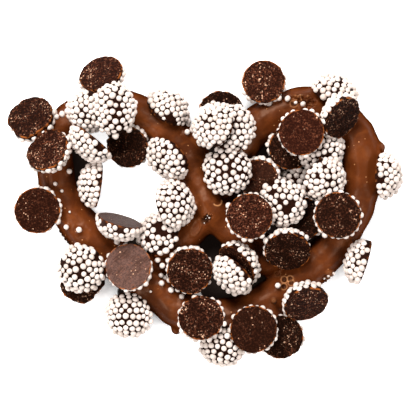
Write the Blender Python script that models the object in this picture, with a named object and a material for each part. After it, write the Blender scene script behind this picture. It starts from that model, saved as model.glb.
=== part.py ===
"""A chocolate covered pretzel with beaded chocolate drops.

The pretzel is one rope of dough under a milk chocolate coat. It starts with one end on the belly, goes round
one lobe and through the twist, round the other lobe and back to the belly.
The drops are discs of dark chocolate, flat on one side and domed on the other, with sugar beads on the dome.
They are stuck to the coat and to each other. Each one is lowered on to what lies below it until it rests.
Units are metres, with +Z up and the table at z = 0.
"""

import math
import random
from typing import NamedTuple

import bmesh
import bpy
import numpy as np
from mathutils import Matrix, Vector
from mathutils.bvhtree import BVHTree

# The plan is laid out in pixels of a view from straight above, x to the right and y down.
PIXEL = 0.00026
PLAN_MIDDLE = (203.5, 211.5)

# Rope
ROPE_WIDTH = 0.0103
ROPE_HEIGHT = 0.0090
ROPE_SIDES = 14
RING_SPACING = 0.0037
WIDEST_AT = 0.42  # share of the height at which the section is widest
LONG_WAVE = (0.035, 0.0370)  # uneven thickness: share of the size, and length along the rope
SHORT_WAVE = (0.020, 0.0115)
LEFT_PHASE = 0.6  # radians by which each half's waves are shifted
RIGHT_PHASE = 2.1
CURVE_STEPS = 24  # points read from each span of the middle line
ROUND_END = (30.0, 60.0)  # degrees round the end at which it has a ring

# Drops
DROP_RADIUS = 0.0059
DROP_DEPTH = 0.0047
DROP_SIDES = 12
DOME_RINGS = (12.0, 42.0, 68.0)  # degrees up the dome
DOME_FULLNESS = 0.85  # under 1 the dome is fuller than a ball
FACE_EDGE = 0.985  # the flat face against the widest ring
UNEVEN_OUTLINE = 0.018
OUTLINE_WAVES = (2, 3, 5)  # waves round the outline
UNEVEN_SIZE = 0.02
FIRST_SEED = 100

# Sugar beads
BEAD_RADIUS = 0.00078
BEAD_SIZES = (0.95, 1.1)
BEAD_SINK = 0.00018  # how far a bead's middle lies under the surface
BEAD_TUMBLE = 0.4  # radians from one loose bead to the next
DOME_SHOWS_FROM = 70.0  # degrees of lean from which a drop shows its dome
DOME_UP_BEADS = (5, 24.0, 66.0)  # how many, and the band of the dome they lie in, in degrees up it
FACE_UP_BEADS = (2, 20.0, 30.0)
GOLDEN_ANGLE = math.radians(137.508)

# Lowering
GAP = 0.0003
DROP_FROM = 0.034
FALL_STEP = 0.00025
HALVINGS = 6

# Colours and roughness
MILK_CHOCOLATE = (0.141, 0.038, 0.014)
MILK_ROUGHNESS = 0.35
DARK_CHOCOLATE = (0.045, 0.014, 0.010)
DARK_ROUGHNESS = 0.55


class Station(NamedTuple):
    """A point of the rope's middle line, its lift off the table and its size against the full section."""

    x: float
    y: float
    lift: float = 0.0
    size: float = 1.0


class Drop(NamedTuple):
    """A drop's flat face: the pixel of its middle, the compass way it leans and how far it leans from level.

    A lean over 90 degrees turns the dome up. flats are broken edges, each a direction round the face in
    degrees and the distance of the edge from the middle against the radius. floor is the lowest that the
    drop may come, for one that hangs on its neighbours. stretch is its length against its width.
    """

    name: str
    x: float
    y: float
    compass: float
    lean: float
    size: float = 1.0
    flats: tuple = ()
    floor: float = 0.0
    stretch: float = 1.0


# Both halves of the rope taper into each other in the middle of the belly, under the drops there.
LEFT_HALF = (
    Station(237, 317, 0.0024, 0.42),
    Station(222, 319, 0.0009, 0.80),
    Station(204, 318),
    Station(177, 309),
    Station(164, 298),
    Station(149, 285),
    Station(128, 269),
    Station(105, 252),
    Station(86, 233.5),
    Station(73, 217),
    Station(61, 197),
    Station(55, 174, 0.0, 1.02),
    Station(54, 151, 0.0, 0.92),
    Station(62, 129.5, 0.0, 0.90),
    Station(78, 115.5, 0.0, 0.97),
    Station(100, 108),
    Station(123, 108),
    Station(143, 116),
    Station(163, 129),
    Station(182.5, 147),
    Station(194, 168),
    Station(201, 188, 0.0010),
    Station(210, 207, 0.0026),
    Station(226, 223, 0.0018),
    Station(245, 239, 0.0008),
    Station(264, 255, 0.0016, 0.97),
    Station(282, 269, 0.0026, 0.92),
)
RIGHT_HALF = (
    Station(189, 313, 0.0024, 0.42),
    Station(203, 317.5, 0.0009, 0.80),
    Station(222, 318.5),
    Station(241, 315),
    Station(262, 305),
    Station(284, 290),
    Station(304, 274),
    Station(320, 261),
    Station(334, 245),
    Station(347, 226),
    Station(356, 208),
    Station(361, 190, 0.0, 0.97),
    Station(363.5, 170, 0.0, 0.97),
    Station(362, 149, 0.0, 1.02),
    Station(356, 134),
    Station(344, 123),
    Station(328, 112),
    Station(311, 105),
    Station(295, 106),
    Station(278, 113),
    Station(262, 123),
    Station(248, 134),
    Station(236, 152, 0.0, 0.98),
    Station(226, 170, 0.0, 0.97),
    Station(218, 189, 0.0, 0.98),
    Station(209, 208),
    Station(192, 226),
    Station(173, 243, 0.0010),
    Station(157, 257, 0.0020, 0.97),
    Station(144, 269, 0.0026, 0.92),
)

# Lumps of coat that stand out of the outline: plan pixel, height of the middle and radius.
LUMPS = (
    (176.0, 330.0, 0.0020, 0.0016),
    (328.8, 273.3, 0.0052, 0.0014),
    (380.0, 147.0, 0.0044, 0.0016),
)
LUMP_SIDES = 10
LUMP_RINGS = 6

# Beads that lie loose on the coat, the ones that stand clear of every drop.
LOOSE_BEADS = (
    (79.0, 229.8),
    (66.3, 226.9),
    (68.9, 171.3),
    (187.0, 132.2),
    (162.8, 265.3),
    (287.9, 98.6),
    (303.5, 104.8),
    (278.0, 285.7),
    (157.6, 256.0),
)

# The drops from the lowest to the highest, so that each one is lowered on to those before it.
DROPS = (
    # Left lobe
    Drop("drop_08", 127.5, 147.0, 225, 15, 0.94),
    Drop("drop_01", 100.5, 73.0, 335, 45),
    Drop("drop_05", 89.5, 110.0, 40, 150, 0.95),
    Drop("drop_07", 93.5, 139.5, 39, 96),
    Drop("drop_02", 29.0, 117.0, 328, 40, 1.06, ((150, 0.84), (233, 0.80), (300, 0.90))),
    Drop("drop_03", 47.0, 149.5, 315, 40, 1.0, ((140, 0.90),)),
    Drop("drop_04", 37.3, 210.6, 225, 7),
    Drop("drop_09", 98.5, 185.0, 98, 99, 1.02),
    Drop("drop_13", 159.5, 235.5, 140, 146, 0.96),
    Drop("drop_12", 120.5, 220.0, 15, 76),
    Drop("drop_11", 171.5, 204.5, 247, 130),
    Drop("drop_10", 170.5, 156.0, 45, 122),
    Drop("drop_18", 166.3, 111.0, 214, 120, 0.97),
    Drop("drop_06", 114.5, 109.5, 270, 166, 1.03, stretch=1.24),
    # Left of the belly
    Drop("drop_15", 82.5, 283.5, 180, 8, 0.98, ((250, 0.88), (321, 0.80)), 0.0025),
    Drop("drop_16", 128.5, 266.5, 315, 8),
    Drop("drop_14", 82.0, 268.0, 40, 168),
    Drop("drop_17", 129.0, 314.0, 40, 160),
    # Right lobe
    Drop("drop_28a", 300.0, 182.5, 60, 158, 0.97, floor=0.0018),
    Drop("drop_32", 302.5, 218.5, 0, 4, 0.93),
    Drop("drop_26", 290.0, 148.0, 90, 8, 0.95),
    Drop("drop_27a", 320.0, 148.0, 315, 150),
    Drop("drop_27b", 322.5, 178.5, 300, 141, 0.96),
    Drop("drop_29", 258.0, 179.5, 215, 20, 0.93),
    Drop("drop_28b", 282.0, 202.0, 0, 168),
    Drop("drop_22", 263.8, 81.4, 0, 12, 0.94),
    Drop("drop_23", 334.0, 95.0, 205, 118),
    Drop("drop_24", 342.5, 118.5, 125, 50),
    Drop("drop_33", 381.5, 175.3, 270, 108, 0.97),
    Drop("drop_34", 365.0, 263.0, 107, 95),
    Drop("drop_25", 301.0, 132.8, 0, 3),
    Drop("drop_31", 337.5, 215.0, 0, 3, 1.02),
    Drop("drop_30", 249.5, 216.0, 0, 3),
    # Cleft between the lobes
    Drop("drop_21", 227.0, 170.0, 180, 176, 1.05),
    Drop("drop_19", 221.0, 113.0, 0, 8),
    Drop("drop_20b", 231.0, 129.0, 200, 162),
    Drop("drop_20a", 215.0, 126.5, 112, 143, 0.96),
    # Right of the belly and the lower hole
    Drop("drop_37b", 236.0, 265.5, 228, 60, 1.03),
    Drop("drop_37a", 235.5, 272.0, 43, 114, 0.98),
    Drop("drop_36", 189.7, 271.0, 180, 8, 1.03),
    Drop("drop_35", 287.3, 251.7, 180, 37),
    Drop("drop_41", 281.0, 337.0, 180, 6, 0.97),
    Drop("drop_42", 223.0, 343.0, 0, 150),
    Drop("drop_38", 306.3, 304.6, 160, 49),
    Drop("drop_39", 201.3, 317.5, 0, 4, 0.98),
    Drop("drop_40", 253.3, 329.0, 270, 7, 1.02),
)


def on_plan(x, y):
    """The place on the table of a pixel of the plan."""
    return (x - PLAN_MIDDLE[0]) * PIXEL, (PLAN_MIDDLE[1] - y) * PIXEL


def chocolate(name, colour, roughness):
    """A material for one kind of chocolate."""
    material = bpy.data.materials.new(name)
    material.use_nodes = True
    shader = material.node_tree.nodes["Principled BSDF"]
    shader.inputs["Base Color"].default_value = (*colour, 1.0)
    shader.inputs["Roughness"].default_value = roughness
    shader.inputs["Metallic"].default_value = 0.0
    return material


def mesh_from(name, points, faces):
    """A closed mesh from points and faces, with its faces turned outward."""
    shape = bmesh.new()
    corners = [shape.verts.new(point) for point in points]
    for face in faces:
        shape.faces.new([corners[i] for i in face])
    bmesh.ops.recalc_face_normals(shape, faces=shape.faces)
    mesh = bpy.data.meshes.new(name)
    shape.to_mesh(mesh)
    shape.free()
    return mesh


def skin_rings(rings, first_tip, last_tip):
    """Points and faces of a skin over rings of equal count, closed by a tip at each end."""
    sides = len(rings[0])
    points = [point for ring in rings for point in ring]
    faces = []
    for low in range(0, len(points) - sides, sides):
        for side in range(sides):
            after = (side + 1) % sides
            faces.append((low + side, low + after, low + sides + after, low + sides + side))
    for tip, start in ((first_tip, 0), (last_tip, len(points) - sides)):
        points.append(tip)
        for side in range(sides):
            faces.append((start + side, start + (side + 1) % sides, len(points) - 1))
    return points, faces


def curve_through(rows):
    """Points along a smooth cubic curve through the rows, which hold place, lift and size."""
    rows = np.array(rows, float)
    padded = np.vstack([2 * rows[0] - rows[1], rows, 2 * rows[-1] - rows[-2]])
    curve = []
    for span in range(len(rows) - 1):
        before, start, end, after = padded[span : span + 4]
        for t in np.arange(CURVE_STEPS) / CURVE_STEPS:
            bend = 2 * before - 5 * start + 4 * end - after
            curl = 3 * start - before - 3 * end + after
            curve.append(0.5 * (2 * start + (end - before) * t + bend * t**2 + curl * t**3))
    curve.append(rows[-1])
    return np.array(curve)


def rope_section(half_width, height, shrink):
    """The rope's section with a flat underside, as points across and up, drawn in towards its widest line."""
    section = []
    for side in range(ROPE_SIDES):
        angle = 2 * math.pi * (side + 0.5) / ROPE_SIDES - math.pi / 2
        up = WIDEST_AT + (1 - WIDEST_AT) * math.sin(angle)
        up = WIDEST_AT + (max(up, 0.0) - WIDEST_AT) * shrink
        section.append((half_width * shrink * math.cos(angle), height * up))
    return section


def unevenness(along, phase):
    """The rope's size against its mean at a distance along it."""
    size = 1.0
    for share, length in (LONG_WAVE, SHORT_WAVE):
        size += share * math.sin(2 * math.pi * along / length + phase)
    return size


def rope_half(name, stations, phase):
    """One half of the rope as a closed tube with round ends."""
    rows = [(*on_plan(s.x, s.y), s.lift, s.size) for s in stations]
    curve = curve_through(rows)
    curve[:, 2] = np.maximum(curve[:, 2], 0.0)  # the smooth curve dips where a lift begins
    steps = np.hypot(*np.diff(curve[:, :2], axis=0).T)
    along = np.concatenate([[0.0], np.cumsum(steps)])
    length = along[-1]
    first, last = (ROPE_WIDTH / 2 * s.size for s in (stations[0], stations[-1]))

    places = []
    for angle in map(math.radians, ROUND_END):
        places.append((first * (1 - math.cos(angle)), math.sin(angle)))
    count = round((length - first - last) / RING_SPACING) + 1
    places += [(at, 1.0) for at in np.linspace(first, length - last, count)]
    for angle in map(math.radians, reversed(ROUND_END)):
        places.append((length - last * (1 - math.cos(angle)), math.sin(angle)))

    def read(at):
        return [np.interp(at, along, curve[:, column]) for column in range(4)]

    rings = []
    for at, shrink in places:
        x, y, lift, size = read(at)
        x_before, y_before = read(max(at - RING_SPACING / 2, 0.0))[:2]
        x_after, y_after = read(min(at + RING_SPACING / 2, length))[:2]
        ahead = Vector((x_after - x_before, y_after - y_before)).normalized()
        size *= unevenness(at, phase)
        ring = []
        for across, up in rope_section(ROPE_WIDTH / 2 * size, ROPE_HEIGHT * size, shrink):
            ring.append((x - ahead.y * across, y + ahead.x * across, lift + up))
        rings.append(ring)
    tips = []
    for at, station in ((0.0, stations[0]), (length, stations[-1])):
        x, y, lift = read(at)[:3]
        tips.append((x, y, lift + WIDEST_AT * ROPE_HEIGHT * station.size))
    return mesh_from(name, *skin_rings(rings, *tips))


def ball(name, radius):
    """A small lump of coat."""
    shape = bmesh.new()
    bmesh.ops.create_uvsphere(shape, u_segments=LUMP_SIDES, v_segments=LUMP_RINGS, radius=radius)
    mesh = bpy.data.meshes.new(name)
    shape.to_mesh(mesh)
    shape.free()
    return mesh


def bead(name, size):
    """A sugar bead with twenty sides."""
    shape = bmesh.new()
    bmesh.ops.create_icosphere(shape, subdivisions=1, radius=BEAD_RADIUS * size)
    mesh = bpy.data.meshes.new(name)
    shape.to_mesh(mesh)
    shape.free()
    return mesh


def is_one_closed_body(mesh):
    """True if every edge has two faces and all faces hang together."""
    shape = bmesh.new()
    shape.from_mesh(mesh)
    closed = all(edge.is_manifold for edge in shape.edges)
    shape.verts.ensure_lookup_table()
    reached = {shape.verts[0]}
    to_visit = [shape.verts[0]]
    while to_visit:
        for edge in to_visit.pop().link_edges:
            for vertex in edge.verts:
                if vertex not in reached:
                    reached.add(vertex)
                    to_visit.append(vertex)
    whole = len(reached) == len(shape.verts)
    shape.free()
    return closed and whole


def fuse(body_mesh, pieces):
    """The union of a mesh with pieces, each a mesh and the matrix that places it."""
    body = bpy.data.objects.new("body", body_mesh)
    bpy.context.scene.collection.objects.link(body)
    loose = bpy.data.collections.new("loose_pieces")
    bpy.context.scene.collection.children.link(loose)
    for mesh, place in pieces:
        piece = bpy.data.objects.new("piece", mesh)
        piece.matrix_world = place
        loose.objects.link(piece)
    union = body.modifiers.new("union", "BOOLEAN")
    union.operation = "UNION"
    union.operand_type = "COLLECTION"
    union.collection = loose
    for solver in ("EXACT", "MANIFOLD"):
        union.solver = solver
        depsgraph = bpy.context.evaluated_depsgraph_get()
        fused = bpy.data.meshes.new_from_object(body.evaluated_get(depsgraph))
        if is_one_closed_body(fused):
            break
    for piece in list(loose.objects):
        bpy.data.objects.remove(piece)
    bpy.data.collections.remove(loose)
    bpy.data.objects.remove(body)
    return fused


def surface_height(trees, x, y):
    """The height of the highest surface over a place on the table."""
    down = Vector((0.0, 0.0, -1.0))
    hits = [tree.ray_cast(Vector((x, y, DROP_FROM)), down)[0] for tree in trees]
    return max(hit.z for hit in hits if hit is not None)


def tree_of(points, faces):
    """A search tree over points and faces."""
    return BVHTree.FromPolygons(points, faces)


def corners_and_faces(mesh):
    """A mesh's corner points and its faces as lists."""
    return [v.co.copy() for v in mesh.vertices], [tuple(p.vertices) for p in mesh.polygons]


def make_pretzel(coat):
    """The coated rope with its lumps and the beads that stick to it."""
    left = rope_half("left_half", LEFT_HALF, LEFT_PHASE)
    right = rope_half("right_half", RIGHT_HALF, RIGHT_PHASE)
    pieces = [(right, Matrix.Identity(4))]
    for number, (x, y, up, radius) in enumerate(LUMPS):
        place = Matrix.Translation((*on_plan(x, y), up))
        pieces.append((ball(f"lump_{number}", radius), place))
    trees = [tree_of(*corners_and_faces(half)) for half in (left, right)]
    for number, pixel in enumerate(LOOSE_BEADS):
        x, y = on_plan(*pixel)
        turn = Matrix.Rotation(number, 4, "Z") @ Matrix.Rotation(BEAD_TUMBLE * number, 4, "X")
        place = Matrix.Translation((x, y, surface_height(trees, x, y) + BEAD_SINK))
        pieces.append((bead(f"loose_bead_{number}", 1.0), place @ turn))
    mesh = fuse(left, pieces)
    mesh.name = "pretzel"
    mesh.materials.clear()
    mesh.materials.append(coat)
    pretzel = bpy.data.objects.new("pretzel", mesh)
    bpy.context.scene.collection.objects.link(pretzel)
    return pretzel


class Outline:
    """A drop's uneven outline, with its broken edges."""

    def __init__(self, drop, draw):
        self.radius = DROP_RADIUS * drop.size * (1 + draw.uniform(-UNEVEN_SIZE, UNEVEN_SIZE))
        self.waves = [(n, draw.uniform(0, 2 * math.pi)) for n in OUTLINE_WAVES]
        self.flats = [(math.radians(at), inset) for at, inset in drop.flats]
        self.stretch = drop.stretch

    def at(self, angle):
        """The radius in one direction round the face."""
        slim = math.sqrt(self.stretch)
        oval = math.hypot(math.cos(angle) * slim, math.sin(angle) / slim)
        share = 1.0 / oval + sum(UNEVEN_OUTLINE / n * math.sin(n * angle + phase) for n, phase in self.waves)
        for flat, inset in self.flats:
            facing = math.cos(angle - flat)
            if facing > 0:
                share = min(share, inset / facing)
        return self.radius * share


def dome_point(outline, angle, climb, depth):
    """A point on the dome at an angle round it and an angle up it."""
    radius = outline.at(angle) * math.cos(climb) ** DOME_FULLNESS
    return Vector((radius * math.cos(angle), radius * math.sin(angle), -depth * math.sin(climb)))


def drop_mesh(drop, draw):
    """A drop with its flat face at z = 0, facing up, and its dome below, with beads fused to the dome."""
    outline = Outline(drop, draw)
    depth = DROP_DEPTH * drop.size
    angles = [2 * math.pi * side / DROP_SIDES for side in range(DROP_SIDES)]
    face = [dome_point(outline, angle, 0.0, depth) * FACE_EDGE for angle in angles]
    rings = [face]
    for climb in map(math.radians, DOME_RINGS):
        rings.append([dome_point(outline, angle, climb, depth) for angle in angles])
    points, faces = skin_rings(rings, Vector((0.0, 0.0, 0.0)), Vector((0.0, 0.0, -depth)))
    body = mesh_from(drop.name, points, faces)

    count, lowest, highest = DOME_UP_BEADS if drop.lean > DOME_SHOWS_FROM else FACE_UP_BEADS
    turn = draw.uniform(0, 2 * math.pi)
    pieces = []
    for number in range(count):
        climb = math.radians(lowest + (highest - lowest) * (number + 0.5) / count)
        middle = dome_point(outline, turn + number * GOLDEN_ANGLE, climb, depth)
        middle -= middle.normalized() * BEAD_SINK
        tumble = Matrix.Rotation(draw.uniform(0, math.pi), 4, "X")
        pieces.append((bead("bead", draw.uniform(*BEAD_SIZES)), Matrix.Translation(middle) @ tumble))
    return fuse(body, pieces)


def leaning(compass, lean, spin):
    """The rotation that turns a drop about its own axis and then leans its face to a point of the compass."""
    toward = math.radians(90 - compass)
    tip = Matrix.Rotation(math.radians(lean), 3, Vector((-math.sin(toward), math.cos(toward), 0.0)))
    return tip @ Matrix.Rotation(spin, 3, "Z")


def resting_height(mesh, turn, place, floor, below):
    """The height of a drop's face at which it rests on what is below, or on its floor."""
    corners = [turn @ (v.co + v.normal * GAP) for v in mesh.vertices]
    faces = [tuple(p.vertices) for p in mesh.polygons]
    lowest = floor - min((turn @ v.co).z for v in mesh.vertices)

    def touches(height):
        shift = Vector((*place, height))
        return bool(tree_of([corner + shift for corner in corners], faces).overlap(below))

    free = DROP_FROM
    while free - FALL_STEP > lowest and not touches(free - FALL_STEP):
        free -= FALL_STEP
    if free - FALL_STEP <= lowest:
        return lowest
    blocked = free - FALL_STEP
    for _ in range(HALVINGS):
        middle = (free + blocked) / 2
        if touches(middle):
            blocked = middle
        else:
            free = middle
    return free


def make_drops(pretzel, dark):
    """All drops, each at rest on the pretzel and on the drops before it."""
    points, faces = corners_and_faces(pretzel.data)
    drops = []
    for number, drop in enumerate(DROPS):
        draw = random.Random(FIRST_SEED + number)
        mesh = drop_mesh(drop, draw)
        mesh.name = drop.name
        mesh.materials.clear()
        mesh.materials.append(dark)
        as_drawn = drop.flats or drop.stretch != 1.0
        spin = 0.0 if as_drawn else draw.uniform(0, 2 * math.pi)
        turn = leaning(drop.compass, drop.lean, spin)
        place = on_plan(drop.x, drop.y)
        height = resting_height(mesh, turn, place, drop.floor, tree_of(points, faces))
        piece = bpy.data.objects.new(drop.name, mesh)
        piece.matrix_world = Matrix.Translation((*place, height)) @ turn.to_4x4()
        bpy.context.scene.collection.objects.link(piece)
        drops.append(piece)
        start = len(points)
        points += [piece.matrix_world @ v.co for v in mesh.vertices]
        faces += [tuple(start + i for i in p.vertices) for p in mesh.polygons]
    return drops


def stand_on_origin(pieces):
    """Moves all pieces so that the origin is under the middle of the whole, at its lowest point."""
    corners = np.array([piece.matrix_world @ v.co for piece in pieces for v in piece.data.vertices])
    low, high = corners.min(axis=0), corners.max(axis=0)
    shift = Vector((-(low[0] + high[0]) / 2, -(low[1] + high[1]) / 2, -low[2]))
    for piece in pieces:
        piece.location += shift


def main():
    for old in list(bpy.data.objects):
        bpy.data.objects.remove(old)
    coat = chocolate("milk_chocolate_coat", MILK_CHOCOLATE, MILK_ROUGHNESS)
    dark = chocolate("dark_chocolate_drop", DARK_CHOCOLATE, DARK_ROUGHNESS)
    pretzel = make_pretzel(coat)
    drops = make_drops(pretzel, dark)
    stand_on_origin([pretzel, *drops])


main()
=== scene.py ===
"""The looks of a chocolate covered pretzel with beaded chocolate drops.

The coated rope is a fine skin drawn over the frame's rope. Each drop is rebuilt on the flat face and the
outline of its node, with all of its sugar beads. Lengths are in metres, +Z is up and the table is z = 0.
"""

import sys
import logging
import math
from dataclasses import dataclass, field
from enum import Enum
from typing import Iterable, Sequence

import bmesh
import bpy
import numpy as np
from mathutils import Matrix, Vector, noise
from mathutils.bvhtree import BVHTree


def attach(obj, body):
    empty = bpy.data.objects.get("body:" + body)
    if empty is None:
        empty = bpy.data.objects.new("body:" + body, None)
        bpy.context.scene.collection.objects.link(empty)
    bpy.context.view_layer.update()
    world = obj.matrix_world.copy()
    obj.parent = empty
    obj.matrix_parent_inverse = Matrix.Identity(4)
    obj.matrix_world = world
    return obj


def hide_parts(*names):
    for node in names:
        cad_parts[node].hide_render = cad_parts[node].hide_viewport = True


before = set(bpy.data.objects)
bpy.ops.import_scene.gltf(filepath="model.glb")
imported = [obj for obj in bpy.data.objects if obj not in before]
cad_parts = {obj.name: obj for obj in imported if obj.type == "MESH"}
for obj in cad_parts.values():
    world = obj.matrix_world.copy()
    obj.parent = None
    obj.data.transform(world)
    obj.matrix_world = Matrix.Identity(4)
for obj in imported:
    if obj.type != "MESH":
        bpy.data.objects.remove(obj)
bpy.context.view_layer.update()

log = logging.getLogger("pretzel")

MM = 0.001
PHOTO_SIDE = 416
PIXEL = 0.26 * MM
ORIGIN_PIXEL = (204.66, 210.18)  # the pixel of the photo that lies over the frame's origin
FULL_TURN = 2 * math.pi
GOLDEN_ANGLE = math.radians(137.508)

Colour = tuple[float, float, float]
Dab = tuple[np.ndarray, float]  # the middle and the radius of a dab of chocolate
Input = "Value | float | Sequence[float]"


def srgb(red: int, green: int, blue: int) -> Colour:
    """The linear colour from the 0 to 255 values that a screen shows."""
    shares = (value / 255 for value in (red, green, blue))
    return tuple(share / 12.92 if share < 0.04 else ((share + 0.055) / 1.055) ** 2.4 for share in shares)


def on_plan(x: float, y: float) -> np.ndarray:
    """The place on the table, as the frame's x and y, under a pixel of the photo."""
    return np.array([(x - ORIGIN_PIXEL[0]) * PIXEL, (ORIGIN_PIXEL[1] - y) * PIXEL])


def ripple(points: np.ndarray, size: float, shift: float) -> np.ndarray:
    """Smooth noise from about -1 to 1 at points. size is its bumps' width, shift the part that is read."""
    offset = Vector((shift, 1.7 * shift, -0.6 * shift))
    return np.array([noise.noise(Vector(point) / size + offset) for point in points])


def placed(name: str, data: bpy.types.ID) -> bpy.types.Object:
    """Puts an object in the scene.

    Args:
        name: Its name.
        data: Its mesh, light or camera.

    Returns:
        The object.
    """
    made = bpy.data.objects.new(name, data)
    bpy.context.scene.collection.objects.link(made)
    return made


def shape_of(points: np.ndarray, faces: Iterable[Sequence[int]]) -> bmesh.types.BMesh:
    """Makes a mesh that can be edited.

    Args:
        points: Its points.
        faces: Its faces.

    Returns:
        The mesh.
    """
    shape = bmesh.new()
    corners = [shape.verts.new(point) for point in points]
    for face in faces:
        shape.faces.new([corners[i] for i in face])
    return shape


class Value:
    """A shader value: a node's output, whose arithmetic adds Math nodes."""

    def __init__(self, graph: "Graph", socket: bpy.types.NodeSocket) -> None:
        """Keeps the output and the graph that it is in."""
        self.graph = graph
        self.socket = socket

    def _math(self, operation: str, first: Input, second: Input) -> "Value":
        """A Math node on two values."""
        return self.graph.node("ShaderNodeMath", {"operation": operation}, {0: first, 1: second})

    def __add__(self, other: Input) -> "Value":
        """The sum."""
        return self._math("ADD", self, other)

    __radd__ = __add__

    def __sub__(self, other: Input) -> "Value":
        """The difference."""
        return self._math("SUBTRACT", self, other)

    def __rsub__(self, other: Input) -> "Value":
        """The difference the other way round."""
        return self._math("SUBTRACT", other, self)

    def __mul__(self, other: Input) -> "Value":
        """The product."""
        return self._math("MULTIPLY", self, other)

    __rmul__ = __mul__

    def over(self, low: float, high: float) -> "Value":
        """A mask that is 0 up to low, 1 from high and smooth between."""
        settings = {"interpolation_type": "SMOOTHSTEP"}
        return self.graph.node("ShaderNodeMapRange", settings, {0: self, 1: low, 2: high, 3: 0.0, 4: 1.0})


class Graph:
    """The nodes of one material."""

    def __init__(self, name: str) -> None:
        """Starts a material.

        Args:
            name: The material's name.
        """
        self.material = bpy.data.materials.new(name)
        self.material.use_nodes = True
        self.tree = self.material.node_tree
        self.shader = self.tree.nodes["Principled BSDF"]
        self.place = self.node("ShaderNodeTexCoord", {}, {}, "Object")

    def node(self, kind: str, settings: dict, inputs: dict, output: int | str = 0) -> Value:
        """Adds a node.

        Args:
            kind: The node's type.
            settings: Its settings, which are set first.
            inputs: Values or links of its sockets, by name or number.
            output: The output that is wanted.

        Returns:
            That output.
        """
        made = self.tree.nodes.new(kind)
        for key, setting in settings.items():
            setattr(made, key, setting)
        for key, value in inputs.items():
            self.feed(made.inputs[key], value)
        return Value(self, made.outputs[output])

    def feed(self, socket: bpy.types.NodeSocket, value: Input) -> None:
        """Links or sets one socket.

        Args:
            socket: The socket.
            value: What goes in.
        """
        if isinstance(value, Value):
            self.tree.links.new(value.socket, socket)
        elif isinstance(value, tuple) and len(value) == 3 and len(socket.default_value) == 4:
            socket.default_value = (*value, 1.0)
        else:
            socket.default_value = value

    def grain(self, size: float, detail: float = 2.0, roughness: float = 0.5, twist: float = 0.0) -> Value:
        """Noise from 0 to 1 over the piece, with bumps of a size, finer layers of a strength, and a swirl."""
        inputs = {"Vector": self.place, "Scale": 1 / size, "Detail": detail, "Roughness": roughness}
        return self.node("ShaderNodeTexNoise", {}, {**inputs, "Distortion": twist})

    def brushed(self, width: float, length: float, turn: float) -> Value:
        """Noise that is drawn out one way, like the marks of a brush.

        Args:
            width: The width of a streak.
            length: Its length.
            turn: The angle of the streaks from +X, in degrees.

        Returns:
            The noise, from 0 to 1.
        """
        inputs = {"Vector": self.place, "Rotation": (0.0, 0.0, math.radians(turn)),
                  "Scale": (length, width, width)}
        drawn = self.node("ShaderNodeMapping", {"vector_type": "TEXTURE"}, inputs)
        return self.node("ShaderNodeTexNoise", {}, {"Vector": drawn, "Scale": 1.0, "Detail": 3.0})

    def specks(self, spacing: float, size: float, share: float) -> Value:
        """Scattered specks, 1 on a speck and 0 beside it.

        Args:
            spacing: The distance between the places where one may be.
            size: The width of a speck.
            share: The share of those places that have one.

        Returns:
            The mask.
        """
        inputs = {"Vector": self.place, "Scale": 1 / spacing, "Randomness": 1.0}
        distance = self.node("ShaderNodeTexVoronoi", {}, inputs, "Distance")
        chance = self.node("ShaderNodeTexVoronoi", {}, inputs, "Color")
        red = self.node("ShaderNodeSeparateColor", {}, {0: chance})
        reach = size / 2 / spacing
        return (1 - distance.over(0.6 * reach, 1.3 * reach)) * (1 - red.over(share - 0.02, share + 0.02))

    def stored(self, name: str) -> Value:
        """A value that the mesh holds at each point."""
        return self.node("ShaderNodeAttribute", {"attribute_name": name}, {}, "Fac")

    def mix(self, share: Input, first: Input, second: Input) -> Value:
        """A colour between the first, where share is 0, and the second, where it is 1."""
        return self.node("ShaderNodeMix", {"data_type": "RGBA"}, {0: share, 6: first, 7: second}, 2)

    def bump(self, height: Value, depth: float, normal: Value | None = None) -> Value:
        """A normal that follows a height.

        Args:
            height: The height, from 0 to 1.
            depth: How deep the whole height is.
            normal: The normal that it adds to.

        Returns:
            The normal.
        """
        inputs = {"Height": height, "Distance": depth, "Strength": 1.0}
        if normal is not None:
            inputs["Normal"] = normal
        return self.node("ShaderNodeBump", {}, inputs, "Normal")

    def dull(self, share: Value, colour: Input, normal: Value) -> None:
        """Adds a second shader without any gloss.

        Args:
            share: Its share over the surface.
            colour: Its colour.
            normal: Its normal.
        """
        inputs = {"Base Color": colour, "Roughness": 1.0, "Specular IOR Level": 0.0, "Normal": normal}
        matte = self.node("ShaderNodeBsdfPrincipled", {}, inputs)
        glossy = Value(self, self.shader.outputs["BSDF"])
        mixed = self.node("ShaderNodeMixShader", {}, {0: share, 1: glossy, 2: matte})
        self.feed(self.tree.nodes["Material Output"].inputs["Surface"], mixed)

    def finish(self, **inputs: Input) -> bpy.types.Material:
        """Sets the shader's own sockets.

        Args:
            inputs: The sockets' values, with _ for the space in a name.

        Returns:
            The material.
        """
        for key, value in inputs.items():
            self.feed(self.shader.inputs[key.replace("_", " ")], value)
        return self.material


WARM_SHEEN = (1.0, 0.66, 0.46)


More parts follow.
